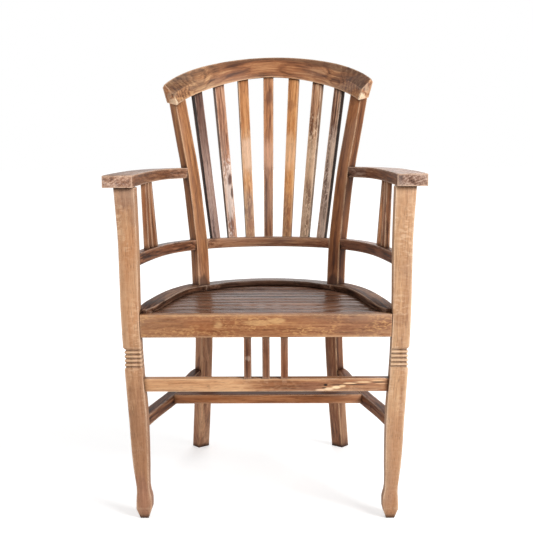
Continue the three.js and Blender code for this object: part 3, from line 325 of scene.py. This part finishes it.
# How strongly the light and dark of the grain show, then the growth rings: strength, pitch and pith in metres
CONTRAST = {
    "back_slat_1": 1.5, "back_slat_2": 1.25, "back_slat_3": 0.85, "back_slat_5": 0.9, "back_slat_6": 1.7,
    "back_slat_7": 1.9, "crest_rail": 0.78, "arm_lower": 1.45, "arm_right": 1.0, "arm_left": 0.82,
    "front_leg": 0.52, "rear_post": 0.8, "front_seat_rail": 0.62, "front_stretcher": 0.68, "cross": 0.8,
    "side_seat_rail": 1.35, "seat_slat": 1.3, "side_stretcher": 1.4,
}
RINGS = {"crest_rail": 0.42, "front_seat_rail": 0.2, "arm_": 0.35, "back_slat": 0.18, "front_leg": 0.05}
USUAL_RINGS = 0.22
RING_PITCH = {"crest_rail": 0.0055, "arm_": 0.006}
USUAL_PITCH = 0.0085
PITH = {"crest_rail": (-0.06, 0.16)}  # across the grain, from the middle of the piece
PITH_NEAR = 0.06  # the others' piths lie between these two distances away
PITH_FAR = 0.12

# Gloss of the old oil: roughness, and the strength of the sheen
GLOSS = {"seat_slat": 0.22, "side_seat_rail": 0.42, "rear_seat_rail": 0.32, "arm_": 0.42}
USUAL_GLOSS = 0.44
SHEEN = {"seat_slat": 0.06, "side_seat_rail": 0.02, "rear_seat_rail": 0.08, "side_stretcher": 0.06,
         "cross_stretcher": 0.05}
USUAL_SHEEN = 0.22

# Noises drawn out along the grain: changes per metre along and across it, detail, roughness, warp
SWAY = ((2.4, 9, 9), 2.0)
RIPPLE = ((12, 60, 60), 3.0)
FIGURE = ((2.0, 44, 44), 5.0, 0.6, 0.6)
STREAKS = ((6, 170, 170), 4.0, 0.62, 0.3)
FIBRES = ((22, 520, 520), 3.0, 0.6)
MOTTLE = ((9, 40, 40), 4.0, 0.6)
WANDER = ((8, 60, 60), 3.0)
DRIFT = ((5, 16, 16), 2.0, 0.5)
PATCHES = ((9, 22, 22), 2.0)
RAGGED = ((22, 110, 110), 4.0, 0.65)
PORES = ((60, 1000, 1000), 2.0, 0.5)
FLECK_DETAIL = (3.0, 0.6, 0.5)

SHIFT = 20  # metres; each piece lies up to this far off in the noises, either way
SWAY_REACH = 0.05
RIPPLE_REACH = 0.006
RING_GREYS = ((0.0, 120), (0.14, 190), (0.55, 170), (0.86, 40), (1.0, 120))
PORE_RANGE = (0.60, 0.68, 0.0, 0.5)
CREVICE_REACH = 0.014
SAMPLES = 6  # rays of the crevice and bevel nodes


class Wood:
    """The coordinates and noises that the layers of one piece's material share."""

    def __init__(self, name):
        self.name = name
        self.tones = value_for(TONES, name)
        self.material = bpy.data.materials.new("teak_" + name)
        self.tree = tree = Tree(self.material)
        (self.along, across, self.third), self.middle = grain_frame(name)
        self.place = tree.put("ShaderNodeTexCoord").outputs["Object"]
        local = tree.vector("SUBTRACT", self.place, tuple(self.middle))
        self.u = tree.vector("DOT_PRODUCT", local, tuple(self.along))
        self.v = tree.vector("DOT_PRODUCT", local, tuple(across))
        self.w = tree.vector("DOT_PRODUCT", local, tuple(self.third))
        if name.startswith(BENT):
            self.v = straighten(tree, name, self.along, across, self.middle, self.u, self.v)
            self.w = straighten(tree, name, self.along, self.third, self.middle, self.u, self.w)
        shift = [draw.uniform(-SHIFT, SHIFT) for _ in range(3)]
        grain = tree.put("ShaderNodeCombineXYZ", {"X": self.u, "Y": self.v, "Z": self.w}).outputs[0]
        self.grain = tree.vector("ADD", grain, tuple(shift))
        self.rings = self.growth_rings()
        self.figure, self.streaks, self.fibres, self.mottle, self.ragged = (
            self.noise(*layer) for layer in (FIGURE, STREAKS, FIBRES, MOTTLE, RAGGED))
        self.pores = tree.spread(self.noise(*PORES), *PORE_RANGE)
        self.facing = tree.put("ShaderNodeNewGeometry").outputs["True Normal"]
        crevice = tree.put("ShaderNodeAmbientOcclusion", {"Distance": CREVICE_REACH}, samples=SAMPLES)
        self.crevice = crevice.outputs["AO"]

    def noise(self, *layer):
        return self.tree.noise(self.grain, *layer)

    def axis(self, number):
        return self.tree.put("ShaderNodeSeparateXYZ", {"Vector": self.place}).outputs[number]

    def growth_rings(self):
        """Rings about a pith outside the piece, bent by a slow sway and a fine ripple."""
        tree = self.tree
        turn = draw.uniform(0, 2 * math.pi)
        reach = draw.uniform(PITH_NEAR, PITH_FAR)
        pith = value_for(PITH, self.name, (-reach * math.cos(turn), -reach * math.sin(turn)))
        dv = tree.math("SUBTRACT", self.v, pith[0])
        dw = tree.math("SUBTRACT", self.w, pith[1])
        squares = tree.math("ADD", tree.math("MULTIPLY", dv, dv), tree.math("MULTIPLY", dw, dw))
        away = tree.math("SQRT", squares)
        away = tree.math("MULTIPLY_ADD", self.noise(*SWAY), SWAY_REACH, away)
        away = tree.math("MULTIPLY_ADD", self.noise(*RIPPLE), RIPPLE_REACH, away)
        pitch = value_for(RING_PITCH, self.name, USUAL_PITCH)
        rings = tree.math("FRACT", tree.math("DIVIDE", away, pitch))
        return tree.ramp(rings, [(place, (grey, grey, grey)) for place, grey in RING_GREYS])


# Tones: figure, streaks, fibres and mottling added up, and the rings over them
LAYER_DEPTHS = (1.2, 1.15, 0.8, 0.75)
TONE_MIDDLE = 0.52
RING_MIDDLE = 0.36
WARMTH = (1.0, 0.975, 0.93)
DEEP = 0.72
TONE_STOPS = (0.0, 0.22, 0.52, 0.82, 1.0)
WANDER_REACH = 0.12


def mix_tones(tree, tone, tones):
    dark, body, light = ([value * factor for value, factor in zip(shade, WARMTH)] for shade in tones)
    deep = [value * DEEP for value in dark]
    return tree.ramp(tone, list(zip(TONE_STOPS, (deep, dark, body, light, light))))


def base_colour(wood):
    tree = wood.tree
    strength = value_for(CONTRAST, wood.name, 1.0)
    depths = [depth * strength for depth in LAYER_DEPTHS]
    tone = TONE_MIDDLE - sum(depths) / 2
    for layer, depth in zip((wood.figure, wood.streaks, wood.fibres, wood.mottle), depths):
        tone = tree.math("MULTIPLY_ADD", layer, depth, tone)
    rings = tree.math("SUBTRACT", wood.rings, RING_MIDDLE)
    tone = tree.math("MULTIPLY_ADD", rings, value_for(RINGS, wood.name, USUAL_RINGS), tone)
    colour = mix_tones(tree, tone, wood.tones)
    blend = value_for(BLENDS, wood.name)
    if blend:
        other, axis, start, end = blend
        apart = tree.math("SUBTRACT", wood.axis(axis), WANDER_REACH / 2)
        apart = tree.math("MULTIPLY_ADD", wood.noise(*WANDER), WANDER_REACH, apart)
        second = tree.ease(apart, start * MM, end * MM)
        colour = tree.mix(second, colour, mix_tones(tree, tone, other))
    return colour


# Greyed and ruddy drifts of colour
GREY_DRIFT = (0.56, 0.72, 0.0, 0.35)
GREY_FACTORS = (1.02, 0.9, 0.84)
RUDDY_DRIFT = (0.44, 0.3, 0.0, 0.3)
RUDDY_FACTORS = (1.08, 0.94, 0.78)


def add_drift(wood, colour):
    tree = wood.tree
    body = wood.tones[1]
    drift = wood.noise(*DRIFT)
    grey = linear([sum(body) / 3 * factor for factor in GREY_FACTORS])
    colour = tree.mix(tree.ease(drift, *GREY_DRIFT), colour, grey)
    ruddy = linear([min(255, value * factor) for value, factor in zip(body, RUDDY_FACTORS)])
    return tree.mix(tree.ease(drift, *RUDDY_DRIFT), colour, ruddy)


# Darker along the crest rail's upper edge, less towards its ends
STRIP_FRAY = 0.010
STRIP_RANGE = (0.0215, 0.0275, 0.0, 0.7)
STRIP_MIDDLE = 0.06
STRIP_FADE = (0.20, 0.12, 0.35, 1.0)
STRIP_TONE = (84, 56, 42)


def add_crest_top_dark(wood, colour):
    if wood.name != "crest_rail":
        return colour
    tree = wood.tree
    strip = tree.ease(tree.math("MULTIPLY_ADD", wood.streaks, STRIP_FRAY, wood.v), *STRIP_RANGE)
    stretch = tree.spread(tree.off(wood.u, STRIP_MIDDLE), *STRIP_FADE)
    return tree.mix(tree.math("MULTIPLY", strip, stretch), colour, linear(STRIP_TONE))


# Curly figure shows as short bright flecks in patches
FLECK_RANGE = (0.46, 0.62)
FADED_PATCHES = (0.3, 0.5)
WHOLE_PATCHES = (0.45, 0.62)
PATCH_LEAST = 0.12


def add_curls(wood, colour):
    curl = value_for(CURLS, wood.name)
    if not curl:
        return colour
    tree = wood.tree
    shade, strength, fineness, *heights = curl
    flecks = tree.ease(wood.noise(fineness, *FLECK_DETAIL), *FLECK_RANGE)
    edges = FADED_PATCHES if heights else WHOLE_PATCHES
    patches = tree.ease(wood.noise(*PATCHES), *edges, PATCH_LEAST, strength)
    if heights:
        fade = tree.ease(wood.axis(2), *(height * MM for height in heights))
        patches = tree.math("MULTIPLY", patches, fade)
    return tree.mix(tree.math("MULTIPLY", flecks, patches), colour, linear(shade))


# Painted shade in the grooves between the legs' beads, and painted highlights on the beads' crowns
BEADS_LOW = 0.3235
BEAD_PITCH = 0.00875
BEADS_MIDDLE = 0.341
BEADS_HALF = 0.0195
BEAD_CENTRE = 0.5  # as a share of the pitch
GROOVE_RANGE = (0.3, 0.46, 0.0, 0.75)
GROOVE_SHADE_TONE = (78, 46, 30)
CROWN_CENTRE = 0.55
CROWN_RANGE = (0.24, 0.05, 0.0, 0.45)
CROWN_HIGHLIGHT_TONE = (238, 204, 166)


def add_painted_bead_shade_and_highlight(wood, colour):
    if not wood.name.startswith("front_leg"):
        return colour
    tree = wood.tree
    height = wood.axis(2)
    phase = tree.math("FRACT", tree.math("DIVIDE", tree.math("SUBTRACT", height, BEADS_LOW), BEAD_PITCH))
    band = tree.math("LESS_THAN", tree.off(height, BEADS_MIDDLE), BEADS_HALF)
    # painted shade in the grooves between the beads
    groove_shade = tree.ease(tree.off(phase, BEAD_CENTRE), *GROOVE_RANGE)
    colour = tree.mix(tree.math("MULTIPLY", groove_shade, band), colour, linear(GROOVE_SHADE_TONE))
    # painted highlight on the beads' crowns
    crown_highlight = tree.ease(tree.off(phase, CROWN_CENTRE), *CROWN_RANGE)
    return tree.mix(tree.math("MULTIPLY", crown_highlight, band), colour, linear(CROWN_HIGHLIGHT_TONE))


# Marks of age, streaked like the wood round them
RAGGED_REACH = 2.6
MARK_EDGE = (1.0, 0.45)
MARK_STREAKS = 1.1
MARK_LEAST = 0.45


def add_marks(wood, colour):
    tree = wood.tree
    for piece, centre, radii, shade, strength, raggedness in MARKS:
        if piece != wood.name:
            continue
        away = tree.vector("SUBTRACT", wood.place, tuple(value * MM for value in centre))
        inverse = tuple(1 / (value * MM) for value in radii)
        away = tree.vector("LENGTH", tree.vector("MULTIPLY", away, inverse))
        fray = RAGGED_REACH * raggedness
        away = tree.math("MULTIPLY_ADD", wood.ragged, fray, tree.math("SUBTRACT", away, fray / 2))
        mark = tree.ease(away, *MARK_EDGE, 0.0, strength)
        inked = tree.math("MULTIPLY_ADD", wood.streaks, MARK_STREAKS, MARK_LEAST)
        inked = tree.put("ShaderNodeCombineXYZ", {"X": inked, "Y": inked, "Z": inked}).outputs[0]
        colour = tree.mix(mark, colour, tree.mix(1.0, linear(shade), inked, "MULTIPLY"))
    return colour


# Open pores as short dark dashes
PORE_DARK = 0.5


def add_pores(wood, colour):
    return wood.tree.mix(wood.pores, colour, linear([value * PORE_DARK for value in wood.tones[0]]))


# Painted shade on the back slats' sides, between the slats
SIDE_SHADE = {"back_slat_1": 0.92, "back_slat_2": 0.7, "back_slat_3": 0.5, "back_slat_4": 0.3,
             "back_slat_5": 0.3, "back_slat_6": 0.5, "back_slat_7": 0.92}
SIDE_SHADE_EDGE = (0.75, 0.95, 0.0)
SIDE_SHADE_TONE = (30, 20, 18)
SLAT_TURN = 13.2  # degrees from one back slat to the next, seen from above
MIDDLE_SLAT = 4


def add_painted_side_shade(wood, colour):
    side = value_for(SIDE_SHADE, wood.name)
    if not side:
        return colour
    tree = wood.tree
    angle = math.radians((int(wood.name[-1]) - MIDDLE_SLAT) * SLAT_TURN)
    # painted shade: the slat's sides are darker the more they look sideways
    edge = tree.vector("DOT_PRODUCT", wood.facing, (math.cos(angle), -math.sin(angle), 0.0))
    return tree.mix(tree.ease(tree.math("ABSOLUTE", edge), *SIDE_SHADE_EDGE, side), colour, linear(SIDE_SHADE_TONE))


# Painted shade along the seat slats' long edges, where they meet
JOINT_REACH = 0.0075  # how far the dark reaches over a slat, and how wide it is full
JOINT_FULL = 0.0025
JOINT_PATCHES = (0.36, 0.56, 0.45, 0.98)
JOINT_SHADE_TONE = (40, 24, 19)


def add_painted_joint_shade(wood, colour):
    if not wood.name.startswith("seat_slat"):
        return colour
    tree = wood.tree
    across = (corners_of(wood.name) - np.array(wood.middle)) @ np.array(wood.third)
    half = float(np.abs(across).max())
    # painted shade along the slat's edges, where it meets the next slat
    joint_shade = tree.ease(tree.math("ABSOLUTE", wood.w), half - JOINT_REACH, half - JOINT_FULL)
    joint_shade = tree.math("MULTIPLY", joint_shade, tree.spread(wood.mottle, *JOINT_PATCHES))
    return tree.mix(joint_shade, colour, linear(JOINT_SHADE_TONE))


# End grain is darker, and drinks more oil
END_GRAIN = {"arm_l": 0.0, "arm_r": 0.0, "crest_rail": 0.0}
USUAL_END_GRAIN = 0.35
END_EDGE = (0.8, 0.95, 0.0)
END_DARK = 0.9


def add_end_grain(wood, colour):
    tree = wood.tree
    ends = tree.math("ABSOLUTE", tree.vector("DOT_PRODUCT", wood.facing, tuple(wood.along)))
    ends = tree.ease(ends, *END_EDGE, value_for(END_GRAIN, wood.name, USUAL_END_GRAIN))
    return tree.mix(ends, colour, linear([value * END_DARK for value in wood.tones[0]]))


# Painted light and shade on faces by the way they look
FACE_LIGHT_EDGE = (0.3, 0.6)


def add_painted_face_light_and_shade(wood, colour):
    tree = wood.tree
    for piece, way, factors in FACE_LIGHT_AND_SHADE:
        if piece == wood.name:
            # painted light and shade: the face's colour is scaled lighter or darker by the way it looks
            turned = tree.ease(tree.vector("DOT_PRODUCT", wood.facing, way), *FACE_LIGHT_EDGE)
            colour = tree.mix(turned, colour, tree.vector("MULTIPLY", colour, factors))
    return colour


# Grime and painted shade in the joints and creases, and arrises painted paler, as rubbed wear and as painted
# highlight
GRIME_AND_SHADE = {"side_seat_rail": 0.5, "front_seat_rail": 0.5, "rear_seat_rail": 0.5}
USUAL_GRIME_AND_SHADE = 0.8
GRIME_AND_SHADE_EDGE = (0.35, 0.92)
GRIME_AND_SHADE_TONE = (44, 28, 22)
WEAR_REACH = {"front_stretcher": 0.0014}  # small where a mortise lies close under the face
USUAL_WEAR_REACH = 0.0045
WEAR_EDGE = (0.994, 0.92, 0.0, 0.85)
WEAR_PATCHES = (0.34, 0.5)
WEAR_OPEN = (0.5, 0.9)
WEAR_SHARE = 0.65
WEAR_AND_HIGHLIGHT_PALE = (88, 80, 72)


def add_grime_and_shade_then_wear_and_highlight(wood, colour):
    tree = wood.tree
    # grime and painted shade: darker where the crevice node finds surfaces close by
    grime_and_shade = tree.ease(wood.crevice, *GRIME_AND_SHADE_EDGE, value_for(GRIME_AND_SHADE, wood.name, USUAL_GRIME_AND_SHADE), 0.0)
    colour = tree.mix(grime_and_shade, colour, linear(GRIME_AND_SHADE_TONE))
    reach = value_for(WEAR_REACH, wood.name, USUAL_WEAR_REACH)
    rounded = tree.put("ShaderNodeBevel", {"Radius": reach}, samples=SAMPLES).outputs["Normal"]
    # arrises painted paler, partly rubbed wear and partly painted highlight
    worn_and_lit = tree.spread(tree.vector("DOT_PRODUCT", rounded, wood.facing), *WEAR_EDGE)
    worn_and_lit = tree.math("MULTIPLY", worn_and_lit, tree.spread(wood.ragged, *WEAR_PATCHES))
    worn_and_lit = tree.math("MULTIPLY", worn_and_lit, tree.spread(wood.crevice, *WEAR_OPEN))
    rubbed_and_lit = linear([value * WEAR_SHARE + pale for value, pale in zip(wood.tones[2], WEAR_AND_HIGHLIGHT_PALE)])
    return tree.mix(worn_and_lit, colour, rubbed_and_lit)


# Each is laid over the ones before it
LAYERS = (add_drift, add_crest_top_dark, add_curls, add_painted_bead_shade_and_highlight, add_marks, add_pores,
          add_painted_side_shade, add_painted_joint_shade, add_end_grain, add_painted_face_light_and_shade, add_grime_and_shade_then_wear_and_highlight)

# The surface: fibres and rings stand up a little, and pores lie deep
ROUGH_STREAKS = (0.3, 0.7)
SMOOTHER = 0.08
ROUGHER = 0.12
FIBRE_HEIGHT = 0.5
RING_HEIGHT = 0.35
PORE_HEIGHT = -0.8
BUMP_STRENGTH = 0.35
BUMP_DISTANCE = 0.0006


def teak(name):
    """Old oiled teak whose grain runs along the piece."""
    wood = Wood(name)
    tree = wood.tree
    colour = base_colour(wood)
    for layer in LAYERS:
        colour = layer(wood, colour)
    gloss = value_for(GLOSS, name, USUAL_GLOSS)
    rough = tree.spread(wood.streaks, *ROUGH_STREAKS, gloss - SMOOTHER, gloss + ROUGHER)
    height = tree.math("MULTIPLY", wood.rings, RING_HEIGHT)
    height = tree.math("MULTIPLY_ADD", wood.fibres, FIBRE_HEIGHT, height)
    height = tree.math("MULTIPLY_ADD", wood.pores, PORE_HEIGHT, height)
    bumped = tree.put("ShaderNodeBump", {
        "Strength": BUMP_STRENGTH, "Distance": BUMP_DISTANCE, "Height": height})
    shader = tree.put("ShaderNodeBsdfPrincipled", {
        "Base Color": colour, "Roughness": rough, "Normal": bumped.outputs["Normal"]})
    shader.inputs["Specular IOR Level"].default_value = value_for(SHEEN, name, USUAL_SHEEN)
    tree.put("ShaderNodeOutputMaterial", {"Surface": shader.outputs[0]})
    return wood.material


# Bevelled arrises, soft where the wood is worn, and smooth curves between sharp edges; widths in mm
ARRIS = {
    "front_leg": 1.1, "rear_post": 1.8, "crest_rail": 1.5, "back_slat": 1.4, "lower_back_rail": 1.6,
    "arm_spindle": 1.0, "arm_lower_rail": 1.8, "arm_": 2.6, "front_seat_rail": 1.4, "seat_bearer": 1.0,
    "seat_slat": 3.0, "side_seat_rail": 2.2, "rear_seat_rail": 2.2, "front_stretcher": 1.8,
    "front_spindle": 1.2, "side_stretcher": 2.0, "cross_stretcher": 1.6,
}
ARRIS_SEGMENTS = 2
SMOOTH_ANGLE = 30  # degrees
FLAT_ANGLE = 0.3  # degrees
WELD_REACH = 0.02 * MM


def smooth_group():
    group = bpy.data.node_groups.new("smooth_by_angle", "GeometryNodeTree")
    group.interface.new_socket("Geometry", in_out="INPUT", socket_type="NodeSocketGeometry")
    group.interface.new_socket("Geometry", in_out="OUTPUT", socket_type="NodeSocketGeometry")
    start = group.nodes.new("NodeGroupInput")
    end = group.nodes.new("NodeGroupOutput")
    faces = group.nodes.new("GeometryNodeSetShadeSmooth")
    edges = group.nodes.new("GeometryNodeSetShadeSmooth")
    edges.domain = "EDGE"
    angle = group.nodes.new("GeometryNodeInputMeshEdgeAngle")
    test = group.nodes.new("FunctionNodeCompare")
    test.operation = "LESS_THAN"
    test.inputs[1].default_value = math.radians(SMOOTH_ANGLE)
    group.links.new(start.outputs[0], faces.inputs["Geometry"])
    group.links.new(faces.outputs[0], edges.inputs["Geometry"])
    group.links.new(angle.outputs["Unsigned Angle"], test.inputs[0])
    group.links.new(test.outputs[0], edges.inputs["Shade Smooth"])
    group.links.new(edges.outputs[0], end.inputs[0])
    return group


smoothing = smooth_group()


def soften(piece, width):
    weld = piece.modifiers.new("weld", "WELD")
    weld.merge_threshold = WELD_REACH
    flat = piece.modifiers.new("flat", "DECIMATE")
    flat.decimate_type = "DISSOLVE"
    flat.angle_limit = math.radians(FLAT_ANGLE)
    bevel = piece.modifiers.new("arris", "BEVEL")
    bevel.width = width
    bevel.segments = ARRIS_SEGMENTS
    bevel.limit_method = "ANGLE"
    bevel.angle_limit = math.radians(SMOOTH_ANGLE)
    bevel.use_clamp_overlap = True
    bevel.miter_outer = "MITER_ARC"
    smooth = piece.modifiers.new("smooth", "NODES")
    smooth.node_group = smoothing


for name in sorted(nodes):
    piece = nodes[name]
    piece.data.materials.clear()
    piece.data.materials.append(teak(name))
    soften(piece, value_for(ARRIS, name) * MM)

# Floor, backdrop and studio light; the backdrop is white to the eye and dimmer as light
WHITE = (1, 1, 1, 1)
FLOOR_HALF = 30.0
FLOOR_TONE = (0.8, 0.8, 0.8, 1)
FLOOR_LIFT = (0.4, 3.0, 0.5, 0.85)  # from and to in metres from the chair, and the lift there
BACKDROP_LIGHT = 0.42
BACKDROP_SHOWN = 1.0
AIM = (0, 0, 0.5)
LIGHTS = [  # name, place, size in metres, power in watts
    ("key", (2.3, -2.5, 1.9), 1.4, 105),
    ("fill", (-2.2, -2.2, 1.0), 2.0, 14),
    ("back", (0.4, 2.6, 2.4), 2.0, 30),
]


def add_floor():
    mesh = bpy.data.meshes.new("floor")
    corners = [(-1, -1), (1, -1), (1, 1), (-1, 1)]
    mesh.from_pydata([(x * FLOOR_HALF, y * FLOOR_HALF, 0) for x, y in corners], [], [(0, 1, 2, 3)])
    floor = bpy.data.objects.new("floor", mesh)
    scene.collection.objects.link(floor)
    material = bpy.data.materials.new("floor")
    tree = Tree(material)
    seen = tree.put("ShaderNodeLightPath").outputs["Is Camera Ray"]
    plain = tree.put("ShaderNodeBsdfDiffuse", {"Color": FLOOR_TONE})
    place = tree.put("ShaderNodeTexCoord").outputs["Object"]
    far = tree.ease(tree.vector("LENGTH", place), *FLOOR_LIFT)
    lift = tree.put("ShaderNodeEmission", {"Color": WHITE, "Strength": tree.math("MULTIPLY", seen, far)})
    both = tree.put("ShaderNodeAddShader", {0: plain.outputs[0], 1: lift.outputs[0]})
    tree.put("ShaderNodeOutputMaterial", {"Surface": both.outputs[0]})
    mesh.materials.append(material)


def add_world():
    world = bpy.data.worlds.new("studio")
    scene.world = world
    tree = Tree(world)
    path = tree.put("ShaderNodeLightPath").outputs
    shown = tree.math("MAXIMUM", path["Is Camera Ray"], path["Is Glossy Ray"])
    shown = tree.math("MAXIMUM", shown, path["Is Transmission Ray"])
    strength = tree.spread(shown, 0.0, 1.0, BACKDROP_LIGHT, BACKDROP_SHOWN)
    background = tree.put("ShaderNodeBackground", {"Color": WHITE, "Strength": strength})
    tree.put("ShaderNodeOutputWorld", {"Surface": background.outputs[0]})


def add_light(name, place, size, power):
    lamp = bpy.data.lights.new(name, "AREA")
    lamp.shape = "SQUARE"
    lamp.size = size
    lamp.energy = power
    light = bpy.data.objects.new(name, lamp)
    light.location = place
    light.rotation_euler = (Vector(AIM) - Vector(place)).to_track_quat("-Z", "Y").to_euler()
    scene.collection.objects.link(light)


add_floor()
add_world()
for light in LIGHTS:
    add_light(*light)

# Camera: the photograph's view, from straight ahead and a little above the arms
SENSOR = 36.0
IMAGE = 533
FOCAL = 1014.0  # in pixels of the photograph
DISTANCE = 2.330
HEIGHT = 0.7727
LEVEL = 90  # degrees from straight down
PITCH = 6.81  # degrees, downwards
YAW = 1.0  # degrees; the chair stands turned by this much in the photograph
ROLL = 0.4  # degrees; the photograph's right side stands a little high
SIDEWAYS = 0.001

lens = bpy.data.cameras.new("camera")
lens.sensor_width = SENSOR
lens.lens = FOCAL / IMAGE * SENSOR
camera = bpy.data.objects.new("camera", lens)
turn = math.radians(YAW)
camera.location = (DISTANCE * math.sin(turn) - SIDEWAYS, -DISTANCE * math.cos(turn), HEIGHT)
camera.rotation_mode = "XYZ"
camera.rotation_euler = (math.radians(LEVEL - PITCH), math.radians(ROLL), turn)
scene.collection.objects.link(camera)
scene.camera = camera
